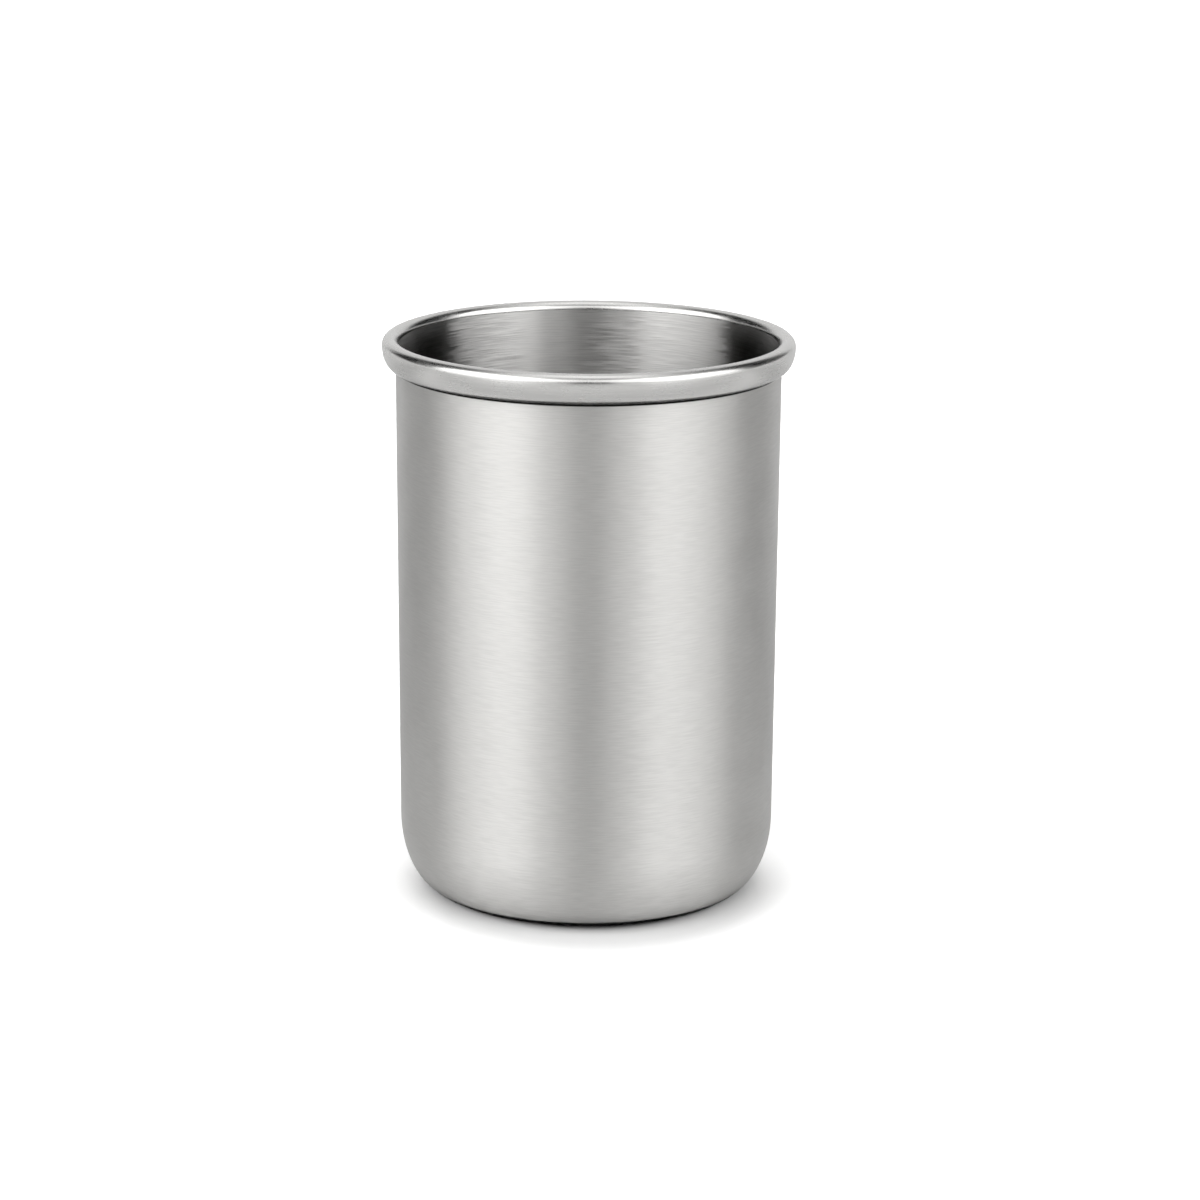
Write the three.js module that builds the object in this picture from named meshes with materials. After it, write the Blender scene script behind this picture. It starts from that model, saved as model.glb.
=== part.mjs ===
// A stainless steel tumbler: a cup drawn from one sheet, whose rim is rolled outwards and down
// into a bead, and a wire hoop that lies in the bead and stiffens it.
// Millimetres, +Z up. The origin is on the cup's axis, at the face that the cup stands on.

import * as THREE from "three";

// Driving dimensions, in millimetres
const tumblerHeight = 103; // from the standing face to the top of the rim
const sheetThickness = 0.6; // of the drawn sheet
const wallTopRadius = 35; // to the outside of the wall, at the rim
const wallLowRadius = 34.6; // to the outside of the wall, where the base corner starts
const cornerReach = 7; // of the rounded base corner, measured inwards
const cornerHeight = 13; // of the rounded base corner, measured upwards
const standingRingWidth = 2.6; // of the flat ring that the cup stands on
const basePushUp = 0.8; // rise of the base panel inside the standing ring
const pushUpBendRadius = 3; // of the two bends between ring and panel, on the underside
const beadHeight = 5.5; // from the top of the rim down to the rolled edge
const rolledEdgeGap = 0.25; // between the rolled edge and the wall
const wireDiameter = 1.6; // of the hoop in the bead
const wireClearance = 0.13; // between the hoop and the sheet that is rolled round it

// Number of flat steps in each curve
const stepsAround = 64;
const cornerSteps = 7;
const bendSteps = 3;
const crownSteps = 8;
const flapSteps = 5;
const wireSteps = 10;

// Points closer than this are one point
const samePoint = 1e-6;

// Directions in the plane of radius and height, in degrees
const outwards = 0;
const upwards = 90;
const inwards = 180;
const downwards = -90;
const fullTurn = 360;

// The crown is the half-round top of the bead, which the wire fits
const wireRadius = wireDiameter / 2;
const crownInsideRadius = wireRadius + wireClearance;
const crownOutsideRadius = crownInsideRadius + sheetThickness;
const crownCentre = new THREE.Vector2(wallTopRadius + crownInsideRadius, tumblerHeight - crownOutsideRadius);

// The flap runs from the crown down and back to the wall, on a quarter of an ellipse
const flapCentre = new THREE.Vector2(wallTopRadius + rolledEdgeGap, crownCentre.y);
const flapReach = crownCentre.x + crownOutsideRadius - flapCentre.x;
const flapDrop = beadHeight - crownOutsideRadius;
const flapInsideReach = flapReach - sheetThickness;
const flapInsideDrop = flapDrop - sheetThickness;

// The base corner is a quarter of an ellipse too
const cornerCentre = new THREE.Vector2(wallLowRadius - cornerReach, cornerHeight);
const cornerInsideReach = cornerReach - sheetThickness;
const cornerInsideHeight = cornerHeight - sheetThickness;

// The two bends lift the base panel: each turns by the same angle, and together they rise by the push-up
const pushUpTurnRadians = Math.acos(1 - basePushUp / (2 * pushUpBendRadius));
const pushUpTurn = THREE.MathUtils.radToDeg(pushUpTurnRadians);
const ringInsideRadius = cornerCentre.x - standingRingWidth;
const panelRadius = ringInsideRadius - 2 * pushUpBendRadius * Math.sin(pushUpTurnRadians);
const ringBendCentre = new THREE.Vector2(ringInsideRadius, pushUpBendRadius);
const panelBendCentre = new THREE.Vector2(panelRadius, basePushUp - pushUpBendRadius);

/** Points along an elliptical arc in the plane of radius and height, between two angles in degrees. */
function arc(centre, reach, rise, startDegrees, endDegrees, steps) {
  const start = THREE.MathUtils.degToRad(startDegrees);
  const end = THREE.MathUtils.degToRad(endDegrees);
  return new THREE.EllipseCurve(centre.x, centre.y, reach, rise, start, end, end < start).getPoints(steps);
}

/** Points along a round arc. */
function roundArc(centre, radius, startDegrees, endDegrees, steps) {
  return arc(centre, radius, radius, startDegrees, endDegrees, steps);
}

/** One outline from its stretches, with each shared end point kept once. */
function joined(...stretches) {
  const points = stretches.flat();
  return points.filter((point, i) => i === 0 || point.distanceTo(points[i - 1]) > samePoint);
}

/** Underside of the base, from the axis out to the standing ring. */
function baseUnderside() {
  return joined(
    [new THREE.Vector2(0, basePushUp)],
    roundArc(panelBendCentre, pushUpBendRadius, upwards, upwards - pushUpTurn, bendSteps),
    roundArc(ringBendCentre, pushUpBendRadius, downwards - pushUpTurn, downwards, bendSteps),
  );
}

/** Floor of the cup, one sheet above the underside, from the standing ring in to the axis. */
function cupFloor() {
  return joined(
    roundArc(ringBendCentre, pushUpBendRadius - sheetThickness, downwards, downwards - pushUpTurn, bendSteps),
    roundArc(panelBendCentre, pushUpBendRadius + sheetThickness, upwards - pushUpTurn, upwards, bendSteps),
    [new THREE.Vector2(0, basePushUp + sheetThickness)],
  );
}

/** Outline of the drawn sheet: out under the base, up the outside, round the bead and down the inside. */
function cupOutline() {
  return joined(
    baseUnderside(),
    arc(cornerCentre, cornerReach, cornerHeight, downwards, outwards, cornerSteps),
    roundArc(crownCentre, crownInsideRadius, inwards, outwards, crownSteps),
    arc(flapCentre, flapInsideReach, flapInsideDrop, outwards, downwards, flapSteps),
    arc(flapCentre, flapReach, flapDrop, downwards, outwards, flapSteps),
    roundArc(crownCentre, crownOutsideRadius, outwards, inwards, crownSteps),
    arc(cornerCentre, cornerInsideReach, cornerInsideHeight, outwards, downwards, cornerSteps),
    cupFloor(),
  );
}

/** Section of the wire hoop, which lies in the middle of the crown. */
function wireOutline() {
  return roundArc(crownCentre, wireRadius, outwards, fullTurn, wireSteps);
}

/** A named mesh made by turning an outline once round the cup's axis. */
function turned(name, outline, material) {
  const geometry = new THREE.LatheGeometry(outline, stepsAround);
  const lyingToStanding = Math.PI / 2;
  geometry.rotateX(lyingToStanding);
  const mesh = new THREE.Mesh(geometry, material);
  mesh.name = name;
  return mesh;
}

const brushedSteel = new THREE.MeshStandardMaterial({ color: 0xbdbcb9, roughness: 0.36, metalness: 1 });
const drawnWire = new THREE.MeshStandardMaterial({ color: 0x9b9a98, roughness: 0.5, metalness: 1 });

const tumbler = new THREE.Group();
tumbler.add(turned("cup_shell", cupOutline(), brushedSteel));
tumbler.add(turned("rim_wire", wireOutline(), drawnWire));

export default tumbler;
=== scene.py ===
"""A stainless steel tumbler: the drawn cup, the wire in its rim, and the studio that it stands in.

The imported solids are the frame. The cup is modelled again as one thin sheet with a finish for each of its sides,
and the rim wire keeps its solid and gets a finish. Lengths are in metres, +Z up, and the origin is on the cup's
axis at the level that it stands on.
"""

import logging
import math
from dataclasses import dataclass
from enum import Enum
from typing import Any, ClassVar

import bmesh
import bpy
from mathutils import Matrix, Vector


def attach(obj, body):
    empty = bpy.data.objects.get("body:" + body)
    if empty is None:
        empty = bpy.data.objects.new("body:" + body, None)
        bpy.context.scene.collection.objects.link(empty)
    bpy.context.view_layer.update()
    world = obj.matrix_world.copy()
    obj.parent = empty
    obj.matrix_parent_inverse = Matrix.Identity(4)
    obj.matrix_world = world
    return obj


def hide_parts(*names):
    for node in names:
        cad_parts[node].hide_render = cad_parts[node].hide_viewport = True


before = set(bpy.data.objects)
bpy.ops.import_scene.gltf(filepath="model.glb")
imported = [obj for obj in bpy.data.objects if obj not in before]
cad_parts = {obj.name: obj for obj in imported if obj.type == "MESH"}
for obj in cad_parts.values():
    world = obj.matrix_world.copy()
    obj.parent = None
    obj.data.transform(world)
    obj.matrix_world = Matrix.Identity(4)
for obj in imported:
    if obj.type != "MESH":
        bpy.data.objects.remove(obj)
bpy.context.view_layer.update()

log = logging.getLogger("tumbler")

Colour = tuple[float, float, float]
Stops = tuple[tuple[float, float], ...]
Span = tuple[float, float]
Spot = tuple[float, float]
Socket = bpy.types.NodeSocket

MM = 0.001
QUARTER_TURN = math.pi / 2
HALF_TURN = math.pi
FULL_TURN = 2 * math.pi
SAME_POINT = 0.001 * MM
ROOT_BODY = "root"

# Each point's length along the sheet's profile, from the middle of the base, is kept under this name.
ALONG = "along"


class CupFinish(Enum):
    """The finishes of the cup, in the order of its material slots."""

    OUTSIDE = 0
    BASE = 1
    INSIDE = 2
    BEAD = 3
    HOLLOW = 4


@dataclass(frozen=True)
class Stretch:
    """One stretch of the sheet: where it ends along the profile, and the finish of its two sides."""

    end: float
    outer: CupFinish
    inner: CupFinish


class ProfilePen:
    """Draws the sheet's profile as one chain of edges, in the plane of radius (X) and height (Z)."""

    def __init__(self, bm: bmesh.types.BMesh, start: Vector) -> None:
        """Sets the pen down.

        Args:
            bm: the mesh that takes the profile.
            start: the first point, on the axis.
        """
        self.bm = bm
        self.along = bm.verts.layers.float.new(ALONG)
        self.tip = bmesh.ops.create_vert(bm, co=start)["vert"][0]
        self.stretches: list[Stretch] = []

    def _measure(self, drawn: list[bmesh.types.BMVert], outer: CupFinish, inner: CupFinish) -> None:
        """Gives the new points their length along the profile and notes the stretch.

        Args:
            drawn: the new points, in order.
            outer: finish of the side that the wall shows outside.
            inner: finish of the other side.
        """
        for point in drawn:
            point[self.along] = self.tip[self.along] + (point.co - self.tip.co).length
            self.tip = point
        self.stretches.append(Stretch(self.tip[self.along], outer, inner))

    def line(self, end: Vector, steps: int, outer: CupFinish, inner: CupFinish) -> None:
        """Draws a straight stretch.

        Args:
            end: the point where it ends.
            steps: how many edges it has.
            outer: finish of the side that the wall shows outside.
            inner: finish of the other side.
        """
        step = (end - self.tip.co) / steps
        drawn, last = [], self.tip
        for _ in range(steps):
            last = bmesh.ops.extrude_vert_indiv(self.bm, verts=[last])["verts"][0]
            bmesh.ops.translate(self.bm, vec=step, verts=[last])
            drawn.append(last)
        self._measure(drawn, outer, inner)

    def arc(
        self, centre: Vector, turn: float, steps: int, outer: CupFinish, inner: CupFinish, squash: float = 1.0
    ) -> None:
        """Draws an arc of a circle, or of an ellipse, from where the pen is.

        Args:
            centre: the middle of the circle or ellipse.
            turn: the angle that it turns through, upwards from the radius.
            steps: how many edges it has.
            outer: finish of the side that the wall shows outside.
            inner: finish of the other side.
            squash: the ellipse's reach over its rise.
        """
        space = Matrix.Diagonal((1, 1, squash, 1))
        count = len(self.bm.verts)
        bmesh.ops.spin(
            self.bm, geom=[self.tip], cent=space @ centre, axis=(0, -1, 0), angle=turn, steps=steps, space=space
        )
        self._measure(self.bm.verts[count:], outer, inner)


class NodeBoard:
    """A node tree, with a short call that adds a node and links it."""

    def __init__(self, tree: bpy.types.NodeTree) -> None:
        """Takes the tree to add to.

        Args:
            tree: the node tree of a material or of the world.
        """
        self.tree = tree

    def node(self, kind: str, sockets: dict[Any, Any] | None = None, **settings: Any) -> bpy.types.Node:
        """Adds a node.

        Args:
            kind: Blender's name of the node type.
            sockets: for each input, a socket to link to it or a value to set on it.
            settings: the node's own settings.

        Returns:
            The node.
        """
        made = self.tree.nodes.new(kind)
        for name, value in settings.items():
            setattr(made, name, value)
        self.feed(made, sockets or {})
        return made

    def feed(self, node: bpy.types.Node, sockets: dict[Any, Any]) -> None:
        """Links or sets inputs of a node.

        Args:
            node: the node whose inputs these are.
            sockets: for each input, a socket to link to it or a value to set on it.
        """
        for name, value in sockets.items():
            if isinstance(value, Socket):
                self.tree.links.new(value, node.inputs[name])
            else:
                node.inputs[name].default_value = value

    def maths(self, operation: str, first: Any, second: Any = 0.0) -> Socket:
        """Returns the result of a Math node on one or two sockets or numbers."""
        return self.node("ShaderNodeMath", {0: first, 1: second}, operation=operation).outputs[0]

    def vector(self, operation: str, first: Any, second: Any = (0, 0, 0)) -> Socket:
        """Returns the vector result of a Vector Math node."""
        return self.node("ShaderNodeVectorMath", {0: first, 1: second}, operation=operation).outputs["Vector"]

    def remap(self, value: Socket, source: Span, target: Span) -> Socket:
        """Maps a value from one range to another, smoothly and without passing its ends.

        Args:
            value: the value to map.
            source: the range that it comes from.
            target: the range that it goes to.

        Returns:
            The mapped value.
        """
        made = self.node(
            "ShaderNodeMapRange",
            {"Value": value, 1: source[0], 2: source[1], 3: target[0], 4: target[1]},
            interpolation_type="SMOOTHSTEP",
        )
        return made.outputs[0]

    def ramp(self, value: Socket, stops: Stops) -> Socket:
        """Reads a brightness off a list of stops.

        Args:
            value: where to read it.
            stops: the places, in rising order, and the brightness at each.

        Returns:
            The brightness.
        """
        first, last = stops[0][0], stops[-1][0]
        peak = max(level for _, level in stops)
        share = self.maths("DIVIDE", self.maths("SUBTRACT", value, first), last - first)
        made = self.node("ShaderNodeValToRGB", {"Fac": share})
        elements = made.color_ramp.elements
        while len(elements) < len(stops):
            elements.new(1.0)
        for element, (place, level) in zip(elements, stops):
            element.position = (place - first) / (last - first)
            element.color = (*[level / peak] * 3, 1)
        return self.maths("MULTIPLY", made.outputs["Color"], peak)


@dataclass(frozen=True)
class Lines:
    """Fine lines that run round the cup's axis.

    Attributes:
        length: of one line, round the axis.
        width: of one line, along the profile.
        depth: from the top to the bottom of the lines.
        tone: how much they change the colour, as a share of it.
        gloss: how much they change the roughness.
        tilt: how far each line leans round the axis, as a slope.
    """

    length: float
    width: float
    depth: float
    tone: float
    gloss: float
    tilt: float


@dataclass(frozen=True)
class SteelFinish:
    """Bare stainless steel with lines round the axis and a soft, uneven sheen.

    Attributes:
        name: of the material.
        colour: of the metal.
        roughness: mean roughness.
        anisotropy: how far the sheen is drawn out across the lines.
        lines: the lines.
        patch: size of the uneven patches in the sheen.
        patch_gloss: how much the patches change the roughness.
        crevice_shade: heights between which the metal's colour is darkened, a painted shade of the narrow gap under
            the bead, or None.
    """

    name: str
    colour: Colour
    roughness: float
    anisotropy: float
    lines: Lines
    patch: float
    patch_gloss: float
    crevice_shade: Span | None = None

    # The lines' length is measured on a ring of this radius, so that they meet round the axis without a seam.
    RING: ClassVar[float] = 35 * MM
    # A quarter of a turn draws the sheen out across the lines and not along them.
    ACROSS_THE_LINES: ClassVar[float] = 0.25
    # Finer layers in the noise of the lines, of their lean and of the patches.
    LINE_DETAIL: ClassVar[float] = 3.0
    LEAN_DETAIL: ClassVar[float] = 1.0
    PATCH_DETAIL: ClassVar[float] = 2.0
    # Nearly all of the noise lies between these values.
    LINE_RANGE: ClassVar[Span] = (0.25, 0.75)
    PATCH_RANGE: ClassVar[Span] = (0.3, 0.7)
    # The share of the metal's colour that is left in the painted shade of the crevice.
    CREVICE_SHADE_TONE: ClassVar[float] = 0.02

    def place(self, board: NodeBoard) -> Socket:
        """Adds coordinates that run round the axis (X and Y) and along the profile (Z).

        Args:
            board: the material's nodes.

        Returns:
            The coordinates.
        """
        spot = board.node("ShaderNodeTexCoord").outputs["Object"]
        level = board.vector("MULTIPLY", spot, (1, 1, 0))
        ring = board.vector("MULTIPLY", board.vector("NORMALIZE", level), (self.RING, self.RING, 0))
        along = board.node("ShaderNodeAttribute", attribute_name=ALONG).outputs["Fac"]
        rise = board.node("ShaderNodeCombineXYZ", {"Z": along}).outputs[0]
        return board.vector("ADD", ring, rise)

    def grain(self, board: NodeBoard, place: Socket, length: float, width: float, detail: float) -> Socket:
        """Adds a noise that is drawn out round the axis.

        Args:
            board: the material's nodes.
            place: the coordinates from place().
            length: size of the noise round the axis.
            width: size of the noise along the profile.
            detail: how many finer layers it has.

        Returns:
            The noise, from 0 to 1 with its mean at a half.
        """
        spread = board.vector("MULTIPLY", place, (1 / length, 1 / length, 1 / width))
        noise = board.node("ShaderNodeTexNoise", {"Vector": spread, "Scale": 1.0, "Detail": detail})
        return noise.outputs[0]

    def lean(self, board: NodeBoard, normal: Socket, lines: Socket) -> Socket:
        """Leans the surface round the axis, by a little more or less in each line.

        Args:
            board: the material's nodes.
            normal: the surface's direction.
            lines: the noise of the lines, from 0 to 1.

        Returns:
            The leaning direction.
        """
        spot = board.node("ShaderNodeTexCoord").outputs["Object"]
        round_axis = board.vector("NORMALIZE", board.vector("CROSS_PRODUCT", (0, 0, 1), spot))
        amount = board.maths("MULTIPLY", board.maths("SUBTRACT", lines, 0.5), self.lines.tilt)
        return board.vector("NORMALIZE", board.vector("ADD", normal, board.vector("MULTIPLY", round_axis, amount)))

    def material(self) -> bpy.types.Material:
        """Makes the material.

        Returns:
            The material, ready for a slot.
        """
        material = bpy.data.materials.new(self.name)
        material.use_nodes = True
        board = NodeBoard(material.node_tree)
        shader = material.node_tree.nodes["Principled BSDF"]
        place = self.place(board)
        lines = self.grain(board, place, self.lines.length, self.lines.width, self.LINE_DETAIL)
        leans = self.grain(board, place, self.lines.length, self.lines.width, self.LEAN_DETAIL)
        patches = self.grain(board, place, self.patch, self.patch, self.PATCH_DETAIL)
        tone = board.remap(lines, self.LINE_RANGE, (1 - self.lines.tone, 1 + self.lines.tone))
        # Painted shade: between two heights the colour darkens, for the shade in the narrow gap under the bead.
        if self.crevice_shade:
            spot = board.node("ShaderNodeTexCoord").outputs["Object"]
            height = board.node("ShaderNodeSeparateXYZ", {0: spot}).outputs["Z"]
            tone = board.maths("MULTIPLY", tone, board.remap(height, self.crevice_shade, (1, self.CREVICE_SHADE_TONE)))
        colour = board.vector("MULTIPLY", tone, self.colour)
        gloss = board.remap(lines, self.LINE_RANGE, (-self.lines.gloss, self.lines.gloss))
        smoothest, roughest = self.roughness - self.patch_gloss, self.roughness + self.patch_gloss
        haze = board.remap(patches, self.PATCH_RANGE, (smoothest, roughest))
        bump = board.node("ShaderNodeBump", {"Strength": 1.0, "Distance": self.lines.depth, "Height": lines})
        normal = self.lean(board, bump.outputs[0], leans)
        board.feed(
            shader,
            {
                "Base Color": colour,
                "Metallic": 1.0,
                "Roughness": board.maths("ADD", haze, gloss),
                "Anisotropic": self.anisotropy,
                "Anisotropic Rotation": self.ACROSS_THE_LINES,
                "Normal": normal,
            },
        )
        return material


STEEL: Colour = (0.63, 0.625, 0.61)
BRIGHT_STEEL: Colour = (0.67, 0.665, 0.652)
INNER_STEEL: Colour = (0.67, 0.664, 0.65)
DULL_STEEL: Colour = (0.42, 0.415, 0.405)

FINISHES: dict[CupFinish, SteelFinish] = {
    CupFinish.OUTSIDE: SteelFinish(
        name="brushed_outside",
        colour=STEEL,
        roughness=0.45,
        anisotropy=0.88,
        lines=Lines(length=3.5 * MM, width=0.2 * MM, depth=0.01 * MM, tone=0.06, gloss=0.05, tilt=0.05),
        patch=8 * MM,
        patch_gloss=0.02,
        # Painted shade of the narrow gap under the bead, on the wall that the bead mostly hides.
        crevice_shade=(97.0 * MM, 97.15 * MM),
    ),
    CupFinish.BASE: SteelFinish(
        name="turned_base",
        colour=STEEL,
        roughness=0.3,
        anisotropy=0.3,
        lines=Lines(length=150 * MM, width=0.3 * MM, depth=0.004 * MM, tone=0.08, gloss=0.04, tilt=0.02),
        patch=6 * MM,
        patch_gloss=0.02,
    ),
    CupFinish.INSIDE: SteelFinish(
        name="brushed_inside",
        colour=INNER_STEEL,
        roughness=0.36,
        anisotropy=1.0,
        lines=Lines(length=5.5 * MM, width=0.17 * MM, depth=0.012 * MM, tone=0.12, gloss=0.06, tilt=0.2),
        patch=9 * MM,
        patch_gloss=0.01,
    ),
    CupFinish.BEAD: SteelFinish(
        name="satin_bead",
        colour=BRIGHT_STEEL,
        roughness=0.26,
        anisotropy=0.1,
        lines=Lines(length=9 * MM, width=0.3 * MM, depth=0.0006 * MM, tone=0.03, gloss=0.02, tilt=0.01),
        patch=4 * MM,
        patch_gloss=0.02,
    ),
    CupFinish.HOLLOW: SteelFinish(
        name="bead_hollow",
        colour=DULL_STEEL,
        roughness=0.5,
        anisotropy=0.2,
        lines=Lines(length=5 * MM, width=0.3 * MM, depth=0.004 * MM, tone=0.05, gloss=0.05, tilt=0.1),
        patch=4 * MM,
        patch_gloss=0.05,
    ),
}

WIRE_FINISH = SteelFinish(
    name="drawn_wire",
    colour=DULL_STEEL,
    roughness=0.45,
    anisotropy=0.3,
    lines=Lines(length=9 * MM, width=0.2 * MM, depth=0.003 * MM, tone=0.06, gloss=0.05, tilt=0.1),
    patch=5 * MM,
    patch_gloss=0.04,
)


@dataclass
class DrawnCup:
    """The cup: floor, rounded base corner, wall and a rim rolled outwards and down, all of one sheet.

    Attributes:
        height: from the standing face to the top of the rim.
        sheet: thickness of the sheet.
        wall_top_radius: to the outside of the wall, at the rim.
        wall_low_radius: to the outside of the wall, where the base corner starts.
        corner_reach: of the rounded base corner, inwards.
        corner_height: of the rounded base corner, upwards.
        base_turn: how far the base's finish runs up the corner, as an angle of its arc.
        ring_width: of the flat ring that the cup stands on.
        push_up: rise of the base panel inside the ring.
        bend_radius: of the two bends between ring and panel.
        bead_height: from the top of the rim down to the rolled edge.
        edge_gap: between the rolled edge and the wall.
        crown_inside_radius: of the half-round top of the bead.
        edge_bevel: rounding of the sheet's raw edge.
        edge_steps: steps in that rounding.
        panel_steps: steps along the base panel.
        bend_steps: steps in each of the two bends.
        ring_steps: steps across the ring.
        low_corner_steps: steps in the part of the corner that has the base's finish.
        corner_steps: steps in the rest of the corner.
        wall_steps: steps up the wall.
        crown_steps: steps over the top of the bead.
        flap_steps: steps from there down to the rolled edge.
        steps_around: steps round the axis.
    """

    height: float = 103 * MM
    sheet: float = 0.6 * MM
    wall_top_radius: float = 35 * MM
    wall_low_radius: float = 34.6 * MM
    corner_reach: float = 7 * MM
    corner_height: float = 13 * MM
    base_turn: float = math.radians(28)
    ring_width: float = 2.6 * MM
    push_up: float = 0.8 * MM
    bend_radius: float = 3 * MM
    bead_height: float = 5.5 * MM
    edge_gap: float = 0.25 * MM
    crown_inside_radius: float = 0.93 * MM
    edge_bevel: float = 0.12 * MM
    edge_steps: int = 2
    panel_steps: int = 6
    bend_steps: int = 6
    ring_steps: int = 2
    low_corner_steps: int = 8
    corner_steps: int = 18
    wall_steps: int = 8
    crown_steps: int = 24
    flap_steps: int = 16
    steps_around: int = 256

    def _draw(self, bm: bmesh.types.BMesh) -> list[Stretch]:
        """Draws the profile of the side that the wall shows outside, from the axis to the rolled edge.

        Args:
            bm: the mesh that takes the profile.

        Returns:
            The stretches of the profile, in order.
        """
        base, outside, inside = CupFinish.BASE, CupFinish.OUTSIDE, CupFinish.INSIDE
        hollow, bead = CupFinish.HOLLOW, CupFinish.BEAD
        turn = math.acos(1 - self.push_up / (2 * self.bend_radius))
        corner_radius = self.wall_low_radius - self.corner_reach
        ring_radius = corner_radius - self.ring_width
        panel_radius = ring_radius - 2 * self.bend_radius * math.sin(turn)
        crown_level = self.height - self.sheet - self.crown_inside_radius
        flap_radius = self.wall_top_radius + self.edge_gap
        flap_reach = 2 * self.crown_inside_radius - self.edge_gap
        flap_drop = self.bead_height - 2 * self.sheet - self.crown_inside_radius

        panel_bend = Vector((panel_radius, 0, self.push_up - self.bend_radius))
        ring_bend = Vector((ring_radius, 0, self.bend_radius))
        corner = Vector((corner_radius, 0, self.corner_height))
        corner_squash = self.corner_reach / self.corner_height
        crown = Vector((self.wall_top_radius + self.crown_inside_radius, 0, crown_level))
        flap = Vector((flap_radius, 0, crown_level))

        pen = ProfilePen(bm, Vector((0, 0, self.push_up)))
        pen.line(Vector((panel_radius, 0, self.push_up)), self.panel_steps, base, inside)
        pen.arc(panel_bend, -turn, self.bend_steps, base, inside)
        pen.arc(ring_bend, turn, self.bend_steps, base, inside)
        pen.line(Vector((corner_radius, 0, 0)), self.ring_steps, base, inside)
        pen.arc(corner, self.base_turn, self.low_corner_steps, base, inside, corner_squash)
        pen.arc(corner, QUARTER_TURN - self.base_turn, self.corner_steps, outside, inside, corner_squash)
        pen.line(Vector((self.wall_top_radius, 0, crown_level)), self.wall_steps, outside, inside)
        pen.arc(crown, -HALF_TURN, self.crown_steps, hollow, bead)
        pen.arc(flap, -QUARTER_TURN, self.flap_steps, hollow, bead, flap_reach / flap_drop)
        return pen.stretches

    @staticmethod
    def _paint(bm: bmesh.types.BMesh, faces: list[bmesh.types.BMFace], stretches: list[Stretch], outer: bool) -> None:
        """Gives faces the material slot of the stretch that they lie on.

        Args:
            bm: the cup's mesh.
            faces: the faces of one side of the sheet.
            stretches: the stretches of the profile, in order.
            outer: whether it is the side that the wall shows outside.
        """
        layer = bm.verts.layers.float[ALONG]
        for face in faces:
            along = sum(vert[layer] for vert in face.verts) / len(face.verts)
            stretch = next((s for s in stretches if along < s.end), stretches[-1])
            face.material_index = (stretch.outer if outer else stretch.inner).value

    def build(self) -> bpy.types.Object:
        """Models the cup.

        Returns:
            The cup's object.
        """
        bm = bmesh.new()
        stretches = self._draw(bm)
        profile = bm.verts[:] + bm.edges[:]
        bmesh.ops.spin(
            bm, geom=profile, axis=(0, 0, 1), cent=(0, 0, 0), angle=FULL_TURN, steps=self.steps_around, use_merge=True
        )
        bmesh.ops.remove_doubles(bm, verts=bm.verts[:], dist=SAME_POINT)
        bmesh.ops.recalc_face_normals(bm, faces=bm.faces[:])
        # The middle of the base has to face down, so that the sheet grows inwards from the outside.
        middle = min(bm.faces, key=lambda face: face.calc_center_median().to_2d().length)
        if middle.normal.z > 0:
            bmesh.ops.reverse_faces(bm, faces=bm.faces[:])
        outer = bm.faces[:]
        self._paint(bm, outer, stretches, True)
        bmesh.ops.solidify(bm, geom=outer, thickness=self.sheet)
        self._paint(bm, bm.faces[len(outer) :], stretches, False)
        raw_edges = [edge for edge in bm.edges if edge.is_manifold and edge.calc_face_angle() > QUARTER_TURN / 2]
        bmesh.ops.bevel(
            bm,
            geom=raw_edges,
            offset=self.edge_bevel,
            offset_type="OFFSET",
            segments=self.edge_steps,
            profile=0.5,
            affect="EDGES",
            material=-1,
        )
        for face in bm.faces:
            face.smooth = True
        mesh = bpy.data.meshes.new("drawn_cup")
        bm.to_mesh(mesh)
        bm.free()
        piece = bpy.data.objects.new("drawn_cup", mesh)
        bpy.context.scene.collection.objects.link(piece)
        return piece

    def dress(self, piece: bpy.types.Object) -> None:
        """Gives the cup its finishes and its place in the frame.

        Args:
            piece: the cup's object.
        """
        for finish in CupFinish:
            piece.data.materials.append(FINISHES[finish].material())
        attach(piece, ROOT_BODY)
        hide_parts("cup_shell")


@dataclass
class RimWire:
    """The wire hoop in the bead, which keeps its solid."""

    node: str = "rim_wire"

    def dress(self) -> bpy.types.Object:
        """Gives the wire its finish.

        Returns:
            The wire's object.
        """
        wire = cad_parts[self.node]
        wire.material_slots[0].material = WIRE_FINISH.material()
        return wire


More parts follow.
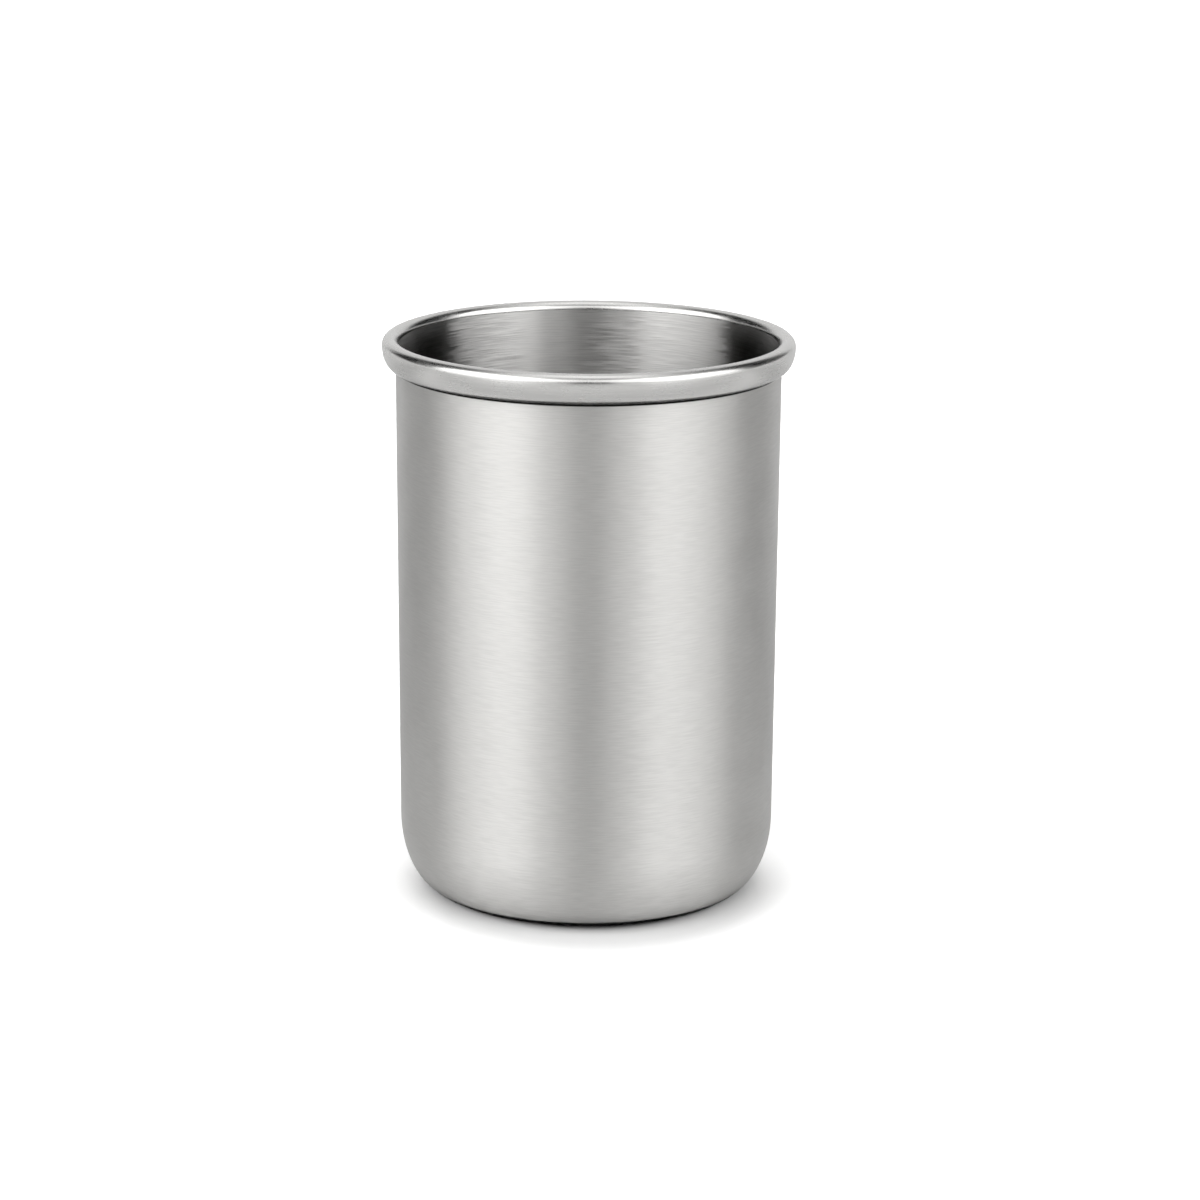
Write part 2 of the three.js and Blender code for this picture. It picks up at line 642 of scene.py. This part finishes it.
@dataclass(frozen=True)
class Surround:
    """The studio round the cup, as the world.

    Two tall soft panels stand beside the camera, a pale backdrop stands behind the cup, the sides between them are
    dark above a low pale strip, and a pale ceiling lies over all. Angles are in degrees: round the cup from the
    camera's side, and above the floor.

    Attributes:
        panels_round: the panels' share of their brightness round the cup.
        panels_up: the panels' brightness above the floor.
        backdrop_round: the backdrop's brightness round the cup.
        strip_up: brightness of the pale strip that runs all round, just above the floor.
        ceiling_up: brightness of the ceiling above the floor.
        camera_round: how far the dark of the camera takes light away, round the cup.
        camera_up: the same, above the floor.
        lean: how much brighter the left panel is, and dimmer the right one, as a share.
        second_bounce: the share that is left of the light, other than the ceiling's, which goes from metal to metal.
    """

    panels_round: Stops = (
        (0, 0.34), (7, 0.36), (12, 0.44), (29, 0.48), (34, 0.84), (48, 1), (58, 0.95), (75, 0.75), (92, 0.6), (97, 0),
        (180, 0),
    )
    panels_up: Stops = ((-14, 1.3), (-4, 1.1), (0, 1.65), (8, 1.9), (23, 3.8), (38, 3.8), (50, 1), (90, 1))
    backdrop_round: Stops = ((0, 0), (138, 0), (150, 0.8), (180, 0.8))
    strip_up: Stops = ((0, 0.8), (5, 0.8), (8, 0), (90, 0))
    ceiling_up: Stops = ((0, 0), (50, 0), (62, 0.45), (76, 1.3), (90, 1.3))
    camera_round: Stops = ((0, 1), (8, 1), (16, 0), (180, 0))
    camera_up: Stops = ((-11, 0), (-6, 1), (15, 1), (26, 0), (90, 0))
    lean: float = 0.07
    second_bounce: float = 0.005

    def _light(self, board: NodeBoard) -> Socket:
        """Adds the nodes that give the surround's brightness in each direction.

        Args:
            board: the world's nodes.

        Returns:
            The brightness.
        """
        ray = board.node("ShaderNodeTexCoord").outputs["Generated"]
        side, depth, rise = board.node("ShaderNodeSeparateXYZ", {0: ray}).outputs
        front = board.maths("MULTIPLY", depth, -1.0)
        turn = board.maths("DEGREES", board.maths("ABSOLUTE", board.maths("ARCTAN2", side, front)))
        up = board.maths("DEGREES", board.maths("ARCSINE", rise))
        panels = board.maths("MULTIPLY", board.ramp(turn, self.panels_round), board.ramp(up, self.panels_up))
        panels = board.maths("MULTIPLY", panels, board.remap(side, (-1, 1), (1 + self.lean, 1 - self.lean)))
        light = board.maths("MAXIMUM", panels, board.ramp(turn, self.backdrop_round))
        light = board.maths("MAXIMUM", light, board.ramp(up, self.strip_up))
        camera = board.maths("MULTIPLY", board.ramp(turn, self.camera_round), board.ramp(up, self.camera_up))
        light = board.maths("MULTIPLY", light, board.maths("SUBTRACT", 1.0, camera))
        bounces = board.node("ShaderNodeLightPath").outputs["Glossy Depth"]
        light = board.maths("MULTIPLY", light, board.remap(bounces, (1, 2), (1, self.second_bounce)))
        return board.maths("MAXIMUM", light, board.ramp(up, self.ceiling_up))

    def build(self) -> None:
        """Makes the world, which the camera itself sees as plain white."""
        world = bpy.data.worlds.new("surround")
        bpy.context.scene.world = world
        world.use_nodes = True
        # Light has to come by the reflected rays alone, because only these know how often they have met metal.
        world.cycles.sampling_method = "NONE"
        world.node_tree.nodes.clear()
        board = NodeBoard(world.node_tree)
        path = board.node("ShaderNodeLightPath")
        studio = board.node("ShaderNodeBackground", {"Color": self._light(board), "Strength": 1.0})
        white = board.node("ShaderNodeBackground", {"Color": (1, 1, 1, 1), "Strength": 1.0})
        seen = board.node(
            "ShaderNodeMixShader", {0: path.outputs["Is Camera Ray"], 1: studio.outputs[0], 2: white.outputs[0]}
        )
        board.node("ShaderNodeOutputWorld", {"Surface": seen.outputs[0]})


@dataclass
class Studio:
    """The floor, surround and camera.

    Attributes:
        floor_side: length of the floor's sides.
        floor_front: how far the floor reaches towards the camera.
        floor_gap: how far the floor lies under the cup.
        floor_seen: the floor's tone to the camera.
        shadow_seen: a painted contact shadow, as the share of that tone by the distance from the shadow's middle, in
            millimetres; it lies on top of the shadow that the cup casts.
        shadow_middle: where the middle of that painted shadow is.
        mirrored_shadow_and_light: a painted contact shadow and a painted brighter ring round it, as the share of the
            tone that the metal mirrors, by the distance from the axis, in millimetres.
        painted_floor_light: the floor's tone in the metal, with painted light and shade, by the distance behind the
            axis, in millimetres.
        aim: height of the point on the axis that the camera looks at.
        distance: from that point to the camera.
        elevation: how far the camera looks down, in degrees.
        roll: the camera's turn about its own line of sight.
        lens: focal length, in millimetres.
        shift: the picture's sideways shift, as a share of its width.
        clip: nearest and furthest distance that the camera sees.
    """

    floor_side: float = 6.0
    floor_front: float = 0.3
    floor_gap: float = 0.02 * MM
    floor_seen: float = 1.41
    shadow_seen: Stops = (
        (0, 0), (18, 0), (19.5, 0.2), (21.5, 0.42), (24, 0.53), (28, 0.57), (30, 0.62), (32, 0.69), (34, 0.77),
        (38, 0.88), (45, 1),
    )
    shadow_middle: Spot = (1.5 * MM, -9 * MM)
    mirrored_shadow_and_light: Stops = ((0, 0), (31.1, 0), (31.9, 0.75), (33.5, 1.12), (40, 1.3), (60, 1.25), (110, 1.05))
    painted_floor_light: Stops = (
        (-280, 0.72), (-160, 0.65), (-60, 0.58), (-20, 0.63), (20, 0.73), (50, 0.73), (85, 0.54), (130, 0.48),
        (200, 0.5), (320, 0.62),
    )
    aim: float = 53.478 * MM
    distance: float = 675.87 * MM
    elevation: float = 14.741
    roll: float = 0.0058
    lens: float = 109.99
    shift: float = 0.0105
    clip: Span = (0.01, 20)

    @staticmethod
    def _painted_shadow_and_light(board: NodeBoard, spot: Socket, middle: Spot, stops: Stops) -> Socket:
        """Adds painted shade round the contact with the floor, and painted light where the stops go above 1, by the
        distance from its middle.

        Args:
            board: the floor's nodes.
            spot: the place on the floor.
            middle: the middle of the shadow.
            stops: the distances in millimetres, and the share of light at each.

        Returns:
            The share of light.
        """
        reach = board.node("ShaderNodeVectorMath", {0: spot, 1: (*middle, 0)}, operation="DISTANCE").outputs["Value"]
        return board.ramp(board.maths("DIVIDE", reach, MM), stops)

    def _floor_material(self) -> bpy.types.Material:
        """Makes a floor that the camera sees as white, with the cup's cast shadow and a painted contact shadow on it,
        and the metal as pale grey with painted shadow and light.

        Returns:
            The floor's material.
        """
        material = bpy.data.materials.new("pale_floor")
        material.use_nodes = True
        tree = material.node_tree
        tree.nodes.clear()
        board = NodeBoard(tree)
        path = board.node("ShaderNodeLightPath")
        spot = board.node("ShaderNodeTexCoord").outputs["Object"]
        depth = board.maths("DIVIDE", board.node("ShaderNodeSeparateXYZ", {0: spot}).outputs["Y"], MM)
        # Painted contact shadow and a painted brighter ring round it, times painted light and shade by depth, which
        # only the metal mirrors.
        shade = self._painted_shadow_and_light(board, spot, (0, 0), self.mirrored_shadow_and_light)
        tone = board.maths("MULTIPLY", shade, board.ramp(depth, self.painted_floor_light))
        lit = board.node("ShaderNodeBsdfDiffuse", {"Color": tone})
        # Painted contact shadow that the camera sees, on top of the cast one.
        shade = self._painted_shadow_and_light(board, spot, self.shadow_middle, self.shadow_seen)
        white = board.maths("MULTIPLY", shade, self.floor_seen)
        seen = board.node("ShaderNodeBsdfDiffuse", {"Color": white})
        mixed = board.node(
            "ShaderNodeMixShader", {0: path.outputs["Is Camera Ray"], 1: lit.outputs[0], 2: seen.outputs[0]}
        )
        board.node("ShaderNodeOutputMaterial", {"Surface": mixed.outputs[0]})
        return material

    def build_floor(self) -> None:
        """Lays the floor just under the cup."""
        bm = bmesh.new()
        bmesh.ops.create_grid(bm, x_segments=1, y_segments=1, size=self.floor_side / 2)
        bmesh.ops.translate(bm, vec=(0, self.floor_side / 2 - self.floor_front, -self.floor_gap), verts=bm.verts[:])
        mesh = bpy.data.meshes.new("floor")
        bm.to_mesh(mesh)
        bm.free()
        mesh.materials.append(self._floor_material())
        floor = bpy.data.objects.new("floor", mesh)
        bpy.context.scene.collection.objects.link(floor)

    def build_camera(self) -> None:
        """Sets up the camera at the photograph's viewing angle."""
        lens = bpy.data.cameras.new("camera")
        lens.lens = self.lens
        lens.shift_x = self.shift
        lens.clip_start, lens.clip_end = self.clip
        camera = bpy.data.objects.new("camera", lens)
        rise = math.radians(self.elevation)
        back = Vector((0, -math.cos(rise), math.sin(rise)))
        camera.location = Vector((0, 0, self.aim)) + back * self.distance
        turned = back.to_track_quat("Z", "Y").to_matrix() @ Matrix.Rotation(self.roll, 3, "Z")
        camera.rotation_euler = turned.to_euler()
        bpy.context.scene.collection.objects.link(camera)
        bpy.context.scene.camera = camera

    def build(self) -> None:
        """Sets up the whole studio."""
        self.build_floor()
        Surround().build()
        self.build_camera()
        bpy.context.scene.view_settings.view_transform = "Standard"


def main() -> None:
    """Builds the cup, dresses the wire and sets up the studio."""
    logging.basicConfig(level=logging.INFO, format="%(name)s: %(message)s")
    cup = DrawnCup()
    piece = cup.build()
    cup.dress(piece)
    log.info("%s: %d faces", piece.name, len(piece.data.polygons))
    wire = RimWire().dress()
    log.info("%s: solid kept, finished as drawn wire", wire.name)
    Studio().build()


if __name__ == "__main__":
    main()
